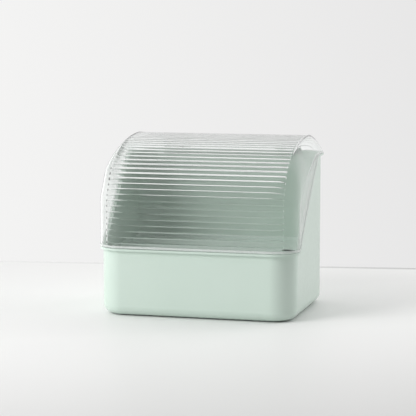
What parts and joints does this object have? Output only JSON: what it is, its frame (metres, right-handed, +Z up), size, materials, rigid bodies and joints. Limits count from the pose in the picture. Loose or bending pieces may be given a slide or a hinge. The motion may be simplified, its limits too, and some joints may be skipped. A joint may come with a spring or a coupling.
{
  "type": "countertop cosmetics organizer",
  "caption": "Rounded tub with sloping side panels, a clear grooved hood that flips up on a rear hinge, and a lift-out tray at rim height.",
  "frame": {"origin": "centre of the object's box, on the plane that the feet rest on", "axes": "+Z up, -Y the front that faces the user, +X the user's right; the lid opens up and back towards +Y"},
  "size_m": [0.34, 0.2716, 0.292],
  "materials": {
    "mint_plastic": "smooth glossy moulded plastic, pale mint",
    "clear_plastic": "clear polished plastic with shallow cross grooves",
    "tray_plastic": "smooth moulded plastic, pale mint",
    "pin_steel": "drawn steel wire",
    "bumper_silicone": "soft matte silicone",
    "foot_rubber": "matte anti-slip rubber"
  },
  "bodies": {
    "tub": {"tub": "mint_plastic", "hinge_pin_left": "pin_steel", "hinge_pin_right": "pin_steel", "lid_bumper_left": "bumper_silicone", "lid_bumper_right": "bumper_silicone", "foot_front_left": "foot_rubber", "foot_front_right": "foot_rubber", "foot_rear_left": "foot_rubber", "foot_rear_right": "foot_rubber"},
    "lid": {"lid": "clear_plastic"},
    "inner_tray": {"inner_tray": "tray_plastic"}
  },
  "joints": [
    {"name": "lid_hinge", "type": "hinge", "parent": "tub", "child": "lid", "pos_m": [0, 0.12921, 0.259], "axis": [-1, 0, 0], "range_deg": [0, 110]},
    {"name": "tray_lift", "type": "slide", "parent": "tub", "child": "inner_tray", "axis": [0, 0, 1], "range_m": [0, 0.08]}
  ]
}
